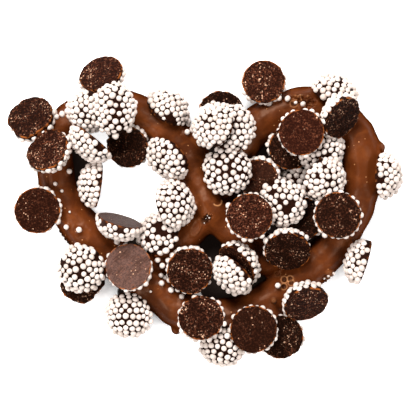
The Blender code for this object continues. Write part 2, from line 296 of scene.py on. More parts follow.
@dataclass(frozen=True)
class MilkCoat:
    """Milk chocolate that has set with a satin gloss, dull and with painted shade on its steep sides and near
    the table.
    """

    colour: Colour = srgb(84, 38, 12)
    deep: Colour = srgb(52, 20, 5)
    warm: Colour = srgb(98, 48, 17)
    pale: Colour = srgb(188, 130, 84)
    # painted shade colour for the marks' dents, the coat's shaded edge and belly, and the joints
    painted_shade: Colour = srgb(28, 10, 4)
    roughness: float = 0.31
    gloss: float = 0.14

    def material(self) -> bpy.types.Material:
        """Builds the material."""
        graph = Graph("milk_chocolate")
        cloud = graph.grain(9 * MM, 3.0)
        patch = graph.grain(3.2 * MM, twist=0.6)
        side = graph.stored("side")
        colour = graph.mix(cloud.over(0.36, 0.66) * 0.65, self.colour, self.deep)
        colour = graph.mix(patch.over(0.46, 0.74) * 0.60, colour, self.warm)
        # painted shade: the coat is darkened on its steep sides and near the table
        colour = graph.mix(side.over(0.0, 0.75) * 0.9, colour, self.deep)
        colour = graph.mix(graph.specks(1.6 * MM, 0.32 * MM, 0.42) * 0.8, colour, self.pale)
        # paler colour on the marks' raised crumbs, rims and ridges, partly a painted highlight
        colour = graph.mix(graph.stored("light"), colour, self.pale)
        # painted shade where the marks are dark: in dents, along the coat's edge, on the belly and over the
        # joints
        colour = graph.mix(graph.stored("dark"), colour, self.painted_shade)
        normal = graph.bump(graph.grain(1.9 * MM), 0.16 * MM)
        normal = graph.bump(graph.grain(0.35 * MM), 0.012 * MM, normal)
        rough = self.roughness + 0.14 * graph.grain(2.4 * MM, 3.0) + 0.55 * side
        graph.dull(side.over(0.0, 0.28), colour, normal)
        return graph.finish(Base_Color=colour, Roughness=rough, Normal=normal, Specular_IOR_Level=self.gloss,
                            Specular_Tint=WARM_SHEEN)


class Grain(Enum):
    """How a drop's flat face has set. The fourth kind is a painted sheen on the face."""

    SMOOTH = "smooth"
    FINE = "fine"
    ROUGH = "rough"
    # a painted sheen: a lighter grey-brown face for light glancing off it
    BLOOM = "bloom"
    GLOSSY = "glossy"


@dataclass(frozen=True)
class DarkChocolate:
    """A drop's dark chocolate, whose flat face has set against a cold sheet."""

    grain: Grain
    light: Colour
    dark: Colour
    flecks: float
    contrast: float
    relief: float
    roughness: float
    gloss: float
    brushed: float = 0.0
    dome: Colour = srgb(34, 14, 8)
    pith: Colour = srgb(18, 7, 4)
    amber: Colour = srgb(158, 86, 36)
    crumb: Colour = srgb(104, 59, 41)
    fleck: Colour = srgb(206, 160, 130)

    def material(self) -> bpy.types.Material:
        """Builds the material."""
        graph = Graph(f"dark_chocolate_{self.grain.value}")
        flat, tone = graph.stored("flat"), graph.stored("tone")
        crumbs = graph.grain(0.55 * MM, 3.0, 0.65)
        fine = graph.grain(0.30 * MM, 2.0, 0.6)
        cloud = graph.grain(2.6 * MM)
        colour = graph.mix(flat, self.dome, graph.mix(tone, self.dark, self.light))
        pitted = (1 - crumbs.over(0.40, 0.56)) * 0.6 + (1 - fine.over(0.40, 0.56)) * 0.4
        colour = graph.mix(pitted * self.contrast, colour, self.pith)
        patchy = 0.4 + 0.6 * cloud.over(0.36, 0.60)
        crumbly = (crumbs.over(0.54, 0.66) + 0.6 * fine.over(0.55, 0.66)) * patchy
        colour = graph.mix(crumbly * (0.4 + tone) * self.contrast * flat, colour, self.crumb)
        small, large = ((0.62 * MM, 0.30 * MM), (1.7 * MM, 0.50 * MM))  # the flecks' spacings and widths
        flecks = graph.specks(*small, self.flecks) + graph.specks(*large, self.flecks)
        threads = graph.grain(0.7 * MM, twist=4.0).over(0.66, 0.72) * fine.over(0.46, 0.56)
        paler = (flecks + threads * self.flecks * 1.4) * cloud.over(0.44, 0.66)
        colour = graph.mix(paler * (0.7 + 0.6 * tone) * flat, colour, self.fleck)
        if self.brushed:
            # darker streaks, the face's own marks, and broad patches where the painted sheen is dimmer
            streaks = graph.brushed(0.42 * MM, 4.5 * MM, 42).over(0.42, 0.62)
            streaks_and_dim_sheen = streaks * (0.25 + 0.6 * cloud.over(0.34, 0.60)) + 0.35 * cloud.over(0.46, 0.62)
            colour = graph.mix(streaks_and_dim_sheen * self.brushed, colour, self.dark)
        colour = graph.mix(graph.stored("rim"), colour, self.amber)
        normal = graph.bump(crumbs, self.relief)
        normal = graph.bump(fine, 0.35 * self.relief, normal)
        rough = self.roughness + 0.18 * crumbs
        return graph.finish(Base_Color=colour, Roughness=rough, Normal=normal, Specular_IOR_Level=self.gloss,
                            Specular_Tint=WARM_SHEEN)


DARK_CHOCOLATES = (
    DarkChocolate(Grain.SMOOTH, srgb(44, 15, 8), srgb(22, 7, 3), 0.20, 0.6, 0.05 * MM, 0.50, 0.02),
    DarkChocolate(Grain.FINE, srgb(48, 18, 10), srgb(13, 4, 2), 0.50, 1.0, 0.12 * MM, 0.52, 0.02),
    DarkChocolate(Grain.ROUGH, srgb(44, 16, 9), srgb(12, 4, 2), 0.80, 1.0, 0.30 * MM, 0.52, 0.02),
    # painted sheen: these grey-brown colours stand for light glancing off the faces of drops 12 and 16
    DarkChocolate(Grain.BLOOM, srgb(110, 82, 74), srgb(52, 32, 26), 0.30, 0.60, 0.10 * MM, 0.42, 0.06, 0.62),
    DarkChocolate(Grain.GLOSSY, srgb(50, 19, 10), srgb(20, 7, 3), 0.20, 0.5, 0.10 * MM, 0.28, 0.07),
)


@dataclass(frozen=True)
class SugarBead:
    """Hard white sugar beads, stained a little where they stick in the chocolate."""

    white: Colour = srgb(214, 199, 190)
    grey: Colour = srgb(190, 174, 163)
    stain: Colour = srgb(104, 52, 24)
    roughness: float = 0.42
    gloss: float = 0.4

    def material(self) -> bpy.types.Material:
        """Builds the material."""
        graph = Graph("sugar_bead")
        colour = graph.mix(graph.stored("tone"), self.white, self.grey)
        colour = graph.mix(graph.grain(0.9 * MM).over(0.45, 0.75) * 0.35, colour, self.grey)
        colour = graph.mix(graph.stored("stain"), colour, self.stain)
        normal = graph.bump(graph.grain(0.3 * MM), 0.018 * MM)
        rough = self.roughness + 0.15 * graph.grain(0.7 * MM)
        return graph.finish(Base_Color=colour, Roughness=rough, Normal=normal, Specular_IOR_Level=self.gloss)


@dataclass
class Skin:
    """A mesh in the making: its points, its faces and what its material reads at each point."""

    points: np.ndarray
    faces: Sequence[Sequence[int]]
    stored: dict[str, np.ndarray] = field(default_factory=dict)

    def piece(self, name: str, material: bpy.types.Material, slot: str, *nodes: str) -> None:
        """Makes the piece, which rides on the part's one body.

        Args:
            name: The piece's name.
            material: Its finish.
            slot: The record's material slot; it is not used.
            nodes: The nodes that it stands for.
        """
        mesh = bpy.data.meshes.new(name)
        mesh.from_pydata(self.points, [], self.faces)
        mesh.shade_smooth()
        for key, values in self.stored.items():
            attribute = mesh.attributes.new(key, "FLOAT", "POINT")
            attribute.data.foreach_set("value", values.astype(np.float32))
        mesh.materials.append(material)
        piece = placed(name, mesh)
        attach(piece, "root")
        if nodes:
            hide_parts(*nodes)
        log.info("%s: %d faces", name, len(mesh.polygons))


@dataclass(frozen=True)
class Solid:
    """A node of the frame as arrays, with a search tree."""

    name: str
    points: np.ndarray
    faces: np.ndarray
    normals: np.ndarray
    centres: np.ndarray
    areas: np.ndarray
    tree: BVHTree

    @classmethod
    def read(cls, name: str) -> "Solid":
        """Reads a node.

        Args:
            name: The node's name.

        Returns:
            The solid.
        """
        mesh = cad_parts[name].data
        points = np.array([v.co for v in mesh.vertices])
        faces = np.array([p.vertices[:] for p in mesh.polygons])
        keys = ("normal", "center", "area")
        of_faces = [np.array([getattr(p, key) for p in mesh.polygons]) for key in keys]
        return cls(name, points, faces, *of_faces, BVHTree.FromPolygons(points.tolist(), faces.tolist()))

    def height_over(self, point: np.ndarray) -> float:
        """How far a point is outside the solid, or inside it if under 0."""
        place, normal, _, distance = self.tree.find_nearest(Vector(point))
        return math.copysign(distance, (Vector(point) - place).dot(normal))


@dataclass(frozen=True)
class DropForm:
    """Where a drop lies: the middle of its flat face, its own axes and its outline.

    The rows of axes are east along the face, across it, and out of the flat face.
    """

    middle: np.ndarray
    axes: np.ndarray
    directions: np.ndarray
    reaches: np.ndarray

    @classmethod
    def of(cls, solid: Solid) -> "DropForm":
        """Reads the form from the drop's solid.

        Args:
            solid: The drop's solid.

        Returns:
            The form.
        """
        same_way, same_level = 0.9995, 0.01 * MM  # how alike the triangles of one flat face are
        least_east, least_turn = 0.3, 0.02
        alike = solid.normals @ solid.normals.T > same_way
        heights = np.einsum("ij,kj->ik", solid.normals, solid.centres)
        alike &= np.abs(heights - np.diag(heights)[:, None]) < same_level
        flat = alike[np.argmax(alike @ solid.areas)]
        out = solid.normals[flat][0]
        middle = np.average(solid.centres[flat], axis=0, weights=solid.areas[flat])
        east = np.array([1.0, 0.0, 0.0]) - out[0] * out
        if np.linalg.norm(east) < least_east:
            east = np.array([0.0, 1.0, 0.0]) - out[1] * out
        east /= np.linalg.norm(east)
        axes = np.array([east, np.cross(out, east), out])
        rim = (solid.points[np.unique(solid.faces[flat])] - middle) @ axes.T
        reaches = np.hypot(rim[:, 0], rim[:, 1])
        outer = reaches > 0.5 * reaches.max()
        directions = np.arctan2(rim[outer, 1], rim[outer, 0])
        order = np.argsort(directions)
        directions, reaches = directions[order], reaches[outer][order]
        apart = np.diff(directions, prepend=directions[-1] - FULL_TURN) > least_turn
        return cls(middle, axes, directions[apart], reaches[apart])

    def reach(self, direction: np.ndarray) -> np.ndarray:
        """The outline's distance from the middle.

        Args:
            direction: Angles round the face.

        Returns:
            The distance at each angle.
        """
        count = len(self.directions)
        knots = np.concatenate([self.directions + turn * FULL_TURN for turn in (-1, 0, 1)])
        reaches = np.tile(self.reaches, 3)
        slopes = np.gradient(reaches, knots)
        direction = (np.asarray(direction) + math.pi) % FULL_TURN - math.pi
        at = np.clip(np.searchsorted(knots, direction) - 1, count - 1, 2 * count)
        width = knots[at + 1] - knots[at]
        along = (direction - knots[at]) / width
        ease = along * along * (3 - 2 * along)
        leaving = (along**3 - 2 * along**2 + along) * slopes[at]
        coming = (along**3 - along**2) * slopes[at + 1]
        return reaches[at] * (1 - ease) + reaches[at + 1] * ease + width * (leaving + coming)

    def out_of(self, local: np.ndarray) -> np.ndarray:
        """Points in the frame from points in the drop's own axes."""
        return self.middle + local @ self.axes


@dataclass(frozen=True)
class Look:
    """How one drop looks.

    tone is from 0, dark, to 1, light. shows are the stretches of the rim, in compass degrees clockwise, where
    beads stick out past the flat face. beaded is the share of its beads that it still has.
    """

    grain: Grain = Grain.FINE
    tone: float = 0.5
    shows: tuple[tuple[float, float], ...] = ((0.0, 360.0),)
    beaded: float = 1.0


# The drops' looks by grain: a drop's number, and then what its Look holds after the grain.
# Painted shade: drops 08, 15, 19, 26, 32 and 41 lie in shade under other drops, and their low tones darken
# them for it; the other tones are the drops' own.
LOOKS = {f"drop_{number}": Look(grain, *look) for grain, rows in {
    Grain.SMOOTH: (
        ("04", 0.30, ((340, 480),)), ("25", 0.65, ((150, 410),)), ("40", 0.12, ((10, 145), (290, 320)))),
    Grain.FINE: (
        ("01", 0.45, ((195, 265),)), ("05", 0.30, ((85, 355),)), ("07", 0.30, ((95, 355),)),
        ("08", 0.0, ((10, 110),)), ("09", 0.30, ((135, 405),)), ("10", 0.30, ((105, 375),)),
        ("18", 0.40, ((325, 580),), 0.97), ("20a", 0.40, ((155, 435),)), ("22", 0.50, ((110, 250),)),
        ("26", 0.05, ((220, 330),)), ("28b", 0.30, ((45, 315),)), ("30", 0.62, ((130, 330), (340, 380))),
        ("31", 0.15, ((0, 360),)), ("32", 0.0, ()), ("33", 0.30, ((315, 585),)),
        ("37a", 0.30, ((85, 365),)), ("37b", 0.30, ((330, 510),)), ("38", 0.35, ((225, 405),))),
    Grain.ROUGH: (
        ("02", 0.30, ()), ("03", 0.50, ((20, 195),)), ("15", 0.10, ()), ("19", 0.0, ()),
        ("24", 0.10, ((205, 350),)), ("35", 0.10, ((235, 465),)), ("36", 0.25, ((250, 430),)),
        ("39", 0.35, ((30, 140), (195, 290))), ("41", 0.0, ())),
    Grain.BLOOM: (("12", 0.30, ((200, 510),)), ("16", 0.60, ((60, 235),))),
    Grain.GLOSSY: (("29", 0.40, ((330, 460),)),),
}.items() for number, *look in rows}

RELIEF = {Grain.SMOOTH: 0.035 * MM, Grain.FINE: 0.07 * MM, Grain.ROUGH: 0.15 * MM, Grain.BLOOM: 0.04 * MM,
          Grain.GLOSSY: 0.03 * MM}
RAGGED = {Grain.FINE: 0.036, Grain.ROUGH: 0.052}  # how uneven the outlines are


@dataclass
class Beads:
    """Sugar beads: their middles, the way out of the chocolate at each one, and their radii."""

    middles: np.ndarray
    outward: np.ndarray
    radii: np.ndarray

    @classmethod
    def joined(cls, lots: Sequence["Beads"]) -> "Beads":
        """All beads of several lots as one lot."""
        keys = ("middles", "outward", "radii")
        return cls(*(np.concatenate([getattr(lot, key) for lot in lots]) for key in keys))

    def kept(self, keep: np.ndarray) -> "Beads":
        """The beads that a mask keeps."""
        return Beads(self.middles[keep], self.outward[keep], self.radii[keep])


@dataclass(frozen=True)
class BeadMaker:
    """Turns beads into one skin, each bead a slightly uneven ball."""

    cuts: int = 2
    squash: float = 0.07
    lump: float = 0.035
    lump_count: float = 2.2
    grey_bias: float = 1.6  # over 1 most beads stay white
    stain_top: tuple[float, float] = (-0.65, -0.1)  # how far up a stain reaches, as a share of the radius
    stain_blur: float = 0.35
    stain_share: tuple[float, float] = (0.5, 1.0)
    seed: int = 4

    def ball(self) -> tuple[np.ndarray, np.ndarray]:
        """A ball with square faces.

        Returns:
            Its points, a unit from the middle, and its faces.
        """
        shape = bmesh.new()
        bmesh.ops.create_cube(shape, size=2.0)
        bmesh.ops.subdivide_edges(shape, edges=shape.edges[:], cuts=self.cuts, use_grid_fill=True)
        points = np.tan(np.array([v.co for v in shape.verts]) * math.pi / 4)
        faces = np.array([[v.index for v in f.verts] for f in shape.faces])
        shape.free()
        return points / np.linalg.norm(points, axis=1)[:, None], faces

    def skin(self, beads: Beads) -> Skin:
        """Builds all beads as one mesh.

        Args:
            beads: The beads.

        Returns:
            The mesh, with each bead's tone and its stain towards the chocolate.
        """
        ball, faces = self.ball()
        draw = np.random.default_rng(self.seed)
        count = len(beads.radii)
        turns, _ = np.linalg.qr(draw.normal(size=(count, 3, 3)))
        turns[np.linalg.det(turns) < 0] *= -1.0
        stretch = 1 + draw.uniform(-self.squash, self.squash, (count, 1, 3))
        waves = draw.normal(size=(count, 3)) * self.lump_count
        phases = np.einsum("pk,nk->np", ball, waves) + draw.uniform(0, 6, (count, 1))
        shape = ball * stretch
        shape *= 1 + self.lump * np.sin(phases)[..., None]
        shape = np.einsum("npk,nkj->npj", shape, turns) * beads.radii[:, None, None]
        climb = np.einsum("npk,nk->np", shape, beads.outward) / beads.radii[:, None]
        points = (shape + beads.middles[:, None, :]).reshape(-1, 3)
        faces = (faces[None] + (np.arange(count) * len(ball))[:, None, None]).reshape(-1, 4)
        tone = np.repeat(draw.uniform(0, 1, count) ** self.grey_bias, len(ball))
        edge = draw.uniform(*self.stain_top, (count, 1))
        stain = np.clip((edge - climb) / self.stain_blur, 0, 1) * draw.uniform(*self.stain_share, (count, 1))
        return Skin(points, faces, {"tone": tone, "stain": stain.ravel()})


@dataclass
class BeadedDrop:
    """A drop: a disc of dark chocolate, flat on one side, with sugar beads all over its dome.

    Angles down the dome are in degrees from the plane of its rim.
    """

    solid: Solid
    form: DropForm
    look: Look
    seed: int
    sides: int = 112
    face_rings: int = 12
    dome_rings: int = 11
    usual_radius: float = 5.7 * MM
    rim_radius: float = 0.16 * MM
    face_edge: float = 0.985  # the flat face against the widest ring
    depth_share: float = 0.82  # the dome's depth against the radius
    fullness: float = 0.85  # under 1 the dome is fuller than a ball
    least_ragged: float = 0.026
    rim_tint: float = 0.75
    seldom: float = 0.12  # the share of the rim's tint that is everywhere
    spotty: float = 2.5
    most_tint: float = 0.9
    steep_face: float = 0.5  # a face that looks up less than this is steep, and has a fainter rim
    steep_tint: float = 0.4
    bead_radius: float = 0.785 * MM
    bead_spread: float = 0.07
    bead_sizes: tuple[float, float] = (0.82, 1.18)
    bead_count: int = 74
    bead_sink: float = 0.10
    bead_lift: float = 0.13 * MM
    rim_sink: float = 0.06
    rim_gaps: float = 0.16
    lowest_bead: float = 9.0
    hidden_rim: float = 19.0
    passes: int = 60
    settling: int = 14
    unevenness: float = 0.08
    jitter: float = 0.15 * MM
    room: float = 1.10
    dome_area: float = 2.3  # in circles of the drop's radius
    touching: float = 1.02
    shove: float = 0.25
    last_shove: float = 0.4
    neighbour_reach: float = 16 * MM
    clear_of_drops: float = 0.45  # in bead radii
    clear_of_rope: float = -0.8

    def relief(self, local: np.ndarray) -> np.ndarray:
        """The height of the flat face's relief.

        Args:
            local: Points in the drop's own axes.

        Returns:
            The height at each point.
        """
        broad = ripple(local, 2.6 * MM, self.seed)
        crumbs = ripple(local, 0.9 * MM, self.seed + 31) + 0.6 * ripple(local, 0.45 * MM, self.seed + 67)
        return RELIEF[self.look.grain] * (0.7 * broad + 0.8 * crumbs)

    def rings(self, radius: float) -> np.ndarray:
        """The body's rings, from the middle of the flat face round the rim and down the dome.

        Args:
            radius: The drop's mean radius.

        Returns:
            A row for each ring: its share of the outline, its height, and how far it is flat face and rim.
        """
        inner = 1 - self.rim_radius / radius
        depth = self.depth_share * radius - self.rim_radius
        rows = [(inner * share, 0.0, 1.0, 0.0) for share in np.linspace(0.08, 0.975, self.face_rings)]
        rows.append((inner, 0.0, 1.0, self.rim_tint))
        for turn in (30, 60, 90):
            at = math.radians(turn)
            share, height = inner + (1 - inner) * math.sin(at), -self.rim_radius * (1 - math.cos(at))
            rows.append((share, height, 1 - turn / 90, self.rim_tint * turn / 90))
        for climb in np.linspace(6, 84, self.dome_rings):
            at = math.radians(climb)
            rows.append((math.cos(at) ** self.fullness, -self.rim_radius - depth * math.sin(at), 0.0, 0.0))
        return np.array(rows)

    def body(self) -> Skin:
        """Builds the chocolate.

        Returns:
            The body, with its tone, its flat side and its rim stored at each point.
        """
        angles = np.arange(self.sides) * FULL_TURN / self.sides
        around = np.stack([np.cos(angles), np.sin(angles), np.zeros(self.sides)], axis=1)
        loop = around * self.usual_radius
        uneven = ripple(loop, 1.5 * MM, self.seed + 5) + 0.6 * ripple(loop, 0.6 * MM, self.seed)
        reach = self.form.reach(angles) / self.face_edge
        reach = reach * (1 + RAGGED.get(self.look.grain, self.least_ragged) * uneven)
        radius = reach.mean()
        rings = self.rings(radius)
        share, height, flat, rim = np.repeat(rings, self.sides, axis=0).T
        local = np.tile(around * reach[:, None], (len(rings), 1)) * share[:, None]
        local[:, 2] = height
        local = np.concatenate([local, [[0, 0, 0], [0, 0, -self.depth_share * radius]]])
        flat, rim = np.append(flat, [1.0, 0.0]), np.append(rim, [0.0, 0.0])
        relief = self.relief(local)
        local[:, 2] += relief * flat - 0.25 * relief * (1 - flat)
        spots = 0.5 * ripple(local, 1.9 * MM, self.seed + 11) + 1.4 * ripple(local, 0.8 * MM, self.seed + 23)
        rim = np.clip(rim * (self.seldom + self.spotty * spots), 0, self.most_tint)
        if self.form.axes[2][2] < self.steep_face:
            rim = rim * self.steep_tint

        side = np.arange(self.sides)
        after = (side + 1) % self.sides
        band = np.stack([side, side + self.sides, after + self.sides, after], axis=1)
        starts = self.sides * np.arange(len(rings) - 1)
        faces = (band + starts[:, None, None]).reshape(-1, 4).tolist()
        last, middle, tip = self.sides * (len(rings) - 1), len(local) - 2, len(local) - 1
        faces += [(middle, a, b) for a, b in zip(side.tolist(), after.tolist())]
        faces += [(tip, last + b, last + a) for a, b in zip(side.tolist(), after.tolist())]
        tone = np.full(len(local), self.look.tone)
        return Skin(self.form.out_of(local), faces, {"tone": tone, "flat": flat, "rim": rim})

    def shows_rim(self, direction: np.ndarray) -> np.ndarray:
        """Whether beads stick out past the rim.

        Args:
            direction: Angles round the face.

        Returns:
            True where they do.
        """
        east, across, _ = self.form.axes
        way = np.cos(direction)[:, None] * east + np.sin(direction)[:, None] * across
        compass = np.degrees(np.arctan2(way[:, 0], way[:, 1])) % 360
        shown = np.full(len(direction), False)
        for start, end in self.look.shows:
            shown |= (compass - start) % 360 <= end - start
        return shown

    def spread(self, draw: np.random.Generator, size: np.ndarray) -> tuple[np.ndarray, np.ndarray]:
        """Spreads the beads evenly over the dome, and then lets them settle a little unevenly.

        Args:
            draw: The drop's random draws.
            size: The dome's radii along the drop's own axes.

        Returns:
            The way to each bead on a dome of radius 1, and the beads' radii.
        """
        count = self.bead_count
        number = np.arange(count) + 0.5
        down = 1 - number / count * (1 - math.sin(math.radians(self.lowest_bead)))
        turn = number * GOLDEN_ANGLE + draw.uniform(0, 6)
        across = np.sqrt(1 - down**2)
        ways = np.stack([across * np.cos(turn), across * np.sin(turn), -down], axis=1)
        ways += draw.normal(size=ways.shape) * self.unevenness
        radii = self.bead_radius * (1 + draw.normal(size=count) * self.bead_spread)
        radii = np.clip(radii, *(share * self.bead_radius for share in self.bead_sizes))
        room = self.room * math.sqrt(self.dome_area * math.pi * size[0] ** 2 / count)
        for step in range(self.passes):
            settling = step >= self.passes - self.settling
            ways /= np.linalg.norm(ways, axis=1)[:, None]
            direction = np.arctan2(ways[:, 1], ways[:, 0])
            lowest = np.where(self.shows_rim(direction), self.lowest_bead, self.hidden_rim)
            ways[:, 2] = np.minimum(ways[:, 2], -np.sin(np.radians(lowest)))
            ways /= np.linalg.norm(ways, axis=1)[:, None]
            places = ways * size
            if step == self.passes - self.settling:
                places += draw.normal(size=places.shape) * self.jitter
            apart = places[:, None] - places[None]
            distance = np.linalg.norm(apart, axis=2) + np.eye(count)
            wanted = (radii[:, None] + radii[None]) * self.touching if settling else room
            short = np.clip(wanted - distance, 0, None)
            push = (apart / distance[..., None] * short[..., None]).sum(axis=1)
            ways = (places + push * (self.last_shove if settling else self.shove)) / size
        ways /= np.linalg.norm(ways, axis=1)[:, None]
        ways[:, 2] = np.minimum(ways[:, 2], -math.sin(math.radians(self.lowest_bead)))
        return ways, radii

    def beads(self, others: Sequence[Solid], rope: Solid) -> Beads:
        """Sets the beads on the dome, apart from those inside a neighbour.

        Args:
            others: The other drops.
            rope: The rope.

        Returns:
            The beads in the frame.
        """
        draw = np.random.default_rng(1000 + self.seed)
        radius = self.form.reaches.mean() / self.face_edge
        size = np.array([radius, radius, radius * self.depth_share])
        ways, radii = self.spread(draw, size)
        climb, direction = np.arcsin(np.clip(-ways[:, 2], 0, 1)), np.arctan2(ways[:, 1], ways[:, 0])
        reach = self.form.reach(direction) / self.face_edge * np.cos(climb) ** self.fullness
        down = -size[2] * np.sin(climb)
        local = np.stack([reach * np.cos(direction), reach * np.sin(direction), down], axis=1)
        outward = local / size**2
        outward /= np.linalg.norm(outward, axis=1)[:, None]
        lift = draw.normal(size=self.bead_count) * self.bead_lift
        lift = np.clip(lift, -1.6 * self.bead_lift, 2 * self.bead_lift)
        low = np.clip(1 - climb / math.radians(2 * self.hidden_rim), 0, 1)
        sunk = radii * (self.bead_sink + self.rim_sink * low)
        local += outward * (lift * (1 + low) - sunk)[:, None]
        local[:, 2] = np.minimum(local[:, 2], -radii - self.rim_radius)
        beads = Beads(self.form.out_of(local), outward @ self.form.axes, radii)
        gap = (low > 0.5) & (draw.uniform(size=self.bead_count) < self.rim_gaps)
        still_there = draw.uniform(size=self.bead_count) < self.look.beaded
        near = [other for other in others
                if np.linalg.norm(other.centres.mean(0) - self.form.middle) < self.neighbour_reach]
        free = [all(other.height_over(middle) > self.clear_of_drops * bead for other in near)
                and rope.height_over(middle) > self.clear_of_rope * bead
                for middle, bead in zip(beads.middles, beads.radii)]
        return beads.kept(np.array(free) & ~gap & still_there)


class MarkKind(Enum):
    """What a mark in the coat is."""

    BUMP = "bump"
    RING = "ring"
    TORN = "torn"
    ARC = "arc"


@dataclass(frozen=True)
class Mark:
    """A mark in the coat.

    x and y are the pixel of its middle, long and wide its half sizes and height its relief in millimetres,
    turn its angle in degrees, and tint how far it is paler, partly as a painted highlight, or darker if under
    0, which is painted shade.
    """

    kind: MarkKind
    x: float
    y: float
    long: float
    wide: float
    height: float
    turn: float = 0.0
    tint: float = 0.0

    def reach(self) -> float:
        """How far from its middle it may change the coat."""
        return 1.5 * max(self.long, self.wide) * MM

    def shape(self, points: np.ndarray) -> np.ndarray:
        """The mark's form, from 0 beside it to about 1.

        Args:
            points: Points of the coat.

        Returns:
            The form at each point.
        """
        ring_width, arc_width, arc_end = 0.22, 0.16, 0.3
        away = points[:, :2] - on_plan(self.x, self.y)
        turn = math.radians(self.turn)
        along = away @ np.array([math.cos(turn), math.sin(turn)]) / (self.long * MM)
        across = away @ np.array([-math.sin(turn), math.cos(turn)]) / (self.wide * MM)
        distance = np.hypot(along, across)
        if self.kind is MarkKind.RING:
            return np.exp(-(((distance - 1) / ring_width) ** 2))
        if self.kind is MarkKind.ARC:
            return np.exp(-(((distance - 1) / arc_width) ** 2)) * np.clip(across / arc_end, 0, 1)
        inside = np.clip(1 - distance**2, 0, 1)
        if self.kind is MarkKind.TORN:
            torn = np.zeros(len(points))
            near = inside > 0
            coarse, fine = ripple(points[near], 0.7 * MM, 3.0), ripple(points[near], 0.3 * MM, 8.0)
            torn[near] = coarse + 0.5 * fine - 0.25
            return np.sqrt(inside) * torn
        return inside**2 * (3 - 2 * inside)


# The coat's marks by kind: what each Mark holds after its kind.
MARKS = tuple(Mark(kind, *row) for kind, rows in {
    MarkKind.BUMP: (
        # a tint under 0 is painted shade, here in the dents; one over 0 is paler colour, partly a painted
        # highlight
        (306.5, 101.5, 2.7, 1.2, -0.55, -8, -0.40), (294.0, 103.5, 0.85, 0.85, -0.45, 0, -0.6),
        (284.4, 279.7, 0.80, 0.80, -0.50, 0, -0.7), (290.2, 279.0, 0.75, 0.75, -0.50, 0, -0.7),
        (284.0, 286.7, 0.75, 0.75, -0.50, 0, -0.7), (291.5, 283.0, 0.70, 0.70, -0.45, 0, -0.6),
        (206.0, 220.0, 1.9, 1.3, -0.55, 40, -0.95), (273.8, 300.6, 0.95, 0.95, 0.50, 0, 0.12),
        (381.0, 147.5, 1.2, 1.2, 0.28), (329.5, 273.0, 1.4, 1.1, 0.60, 20, 0.1),
        # painted shade: two flat marks darken the coat along its lower left edge and on the belly
        (154.0, 306.0, 8.5, 3.6, 0.0, -45, -0.60), (262.0, 297.0, 9.0, 3.0, 0.0, 25, -0.25),
        # painted shade: four small bumps darkened where the left edge meets the table
        (60.0, 231.5, 0.6, 0.6, 0.35, 0, -0.8), (62.5, 235.0, 0.6, 0.6, 0.35, 0, -0.8),
        (65.5, 238.5, 0.6, 0.6, 0.35, 0, -0.8), (68.5, 241.5, 0.6, 0.6, 0.35, 0, -0.8)),
    MarkKind.RING: (
        (294.0, 103.5, 0.95, 0.95, 0.14, 0, 0.20), (284.4, 279.7, 0.86, 0.86, 0.12, 0, 0.35),
        (290.2, 279.0, 0.82, 0.82, 0.12, 0, 0.35), (284.0, 286.7, 0.82, 0.82, 0.12, 0, 0.35),
        (291.5, 283.0, 0.78, 0.78, 0.12, 0, 0.35), (278.0, 274.0, 0.80, 0.70, 0.16, 0, 0.08),
        (196.0, 227.5, 2.3, 1.1, 0.14, 65, 0.05)),
    MarkKind.TORN: (
        # the torn marks' paler crumbs are partly painted glints
        (303.5, 101.0, 3.8, 1.7, 1.10, -8, 0.95), (207.5, 218.0, 1.7, 1.1, 0.80, 40, 0.9),
        (329.0, 278.0, 1.9, 1.1, 0.90, 15, 1.0)),
    MarkKind.ARC: ((217.5, 201.5, 1.1, 1.1, 0.18, -155, 0.8),),
}.items() for row in rows)

# Beads that lie loose on the coat: the pixel, and the size against LOOSE_RADIUS.
LOOSE_BEADS = (
    (62.6, 114.3, 1.12), (57.0, 116.8, 1.0), (52.0, 121.0, 0.95), (48.8, 125.5, 0.95), (68.9, 171.3, 0.98),
    (55.4, 184.0, 0.70), (61.5, 191.0, 0.62), (69.5, 212.0, 0.45), (66.3, 226.9, 0.95), (79.0, 229.8, 1.08),
    (116.3, 242.6, 1.0), (160.0, 253.0, 1.0), (157.6, 259.4, 1.0), (162.8, 265.3, 1.0), (160.9, 274.5, 0.95),
    (164.7, 278.0, 0.80), (161.2, 283.5, 1.05), (170.7, 290.5, 1.05), (181.6, 297.2, 1.0),
    (148.8, 250.3, 0.65), (150.7, 291.7, 0.45), (187.0, 132.2, 1.05), (287.9, 98.6, 1.02),
    (295.2, 102.2, 0.65), (303.5, 104.8, 1.0), (278.0, 285.7, 1.0), (324.5, 278.0, 0.46),
    (328.5, 276.0, 0.52), (332.0, 276.5, 0.46), (333.5, 273.5, 0.50), (183.0, 121.5, 0.90),
    (187.5, 124.5, 0.85), (191.5, 119.5, 0.95), (190.5, 113.0, 0.90), (207.5, 215.5, 0.26),
    (209.5, 217.8, 0.32), (206.0, 218.4, 0.26), (204.5, 223.0, 0.22),
)
LOOSE_RADIUS = 0.76 * MM


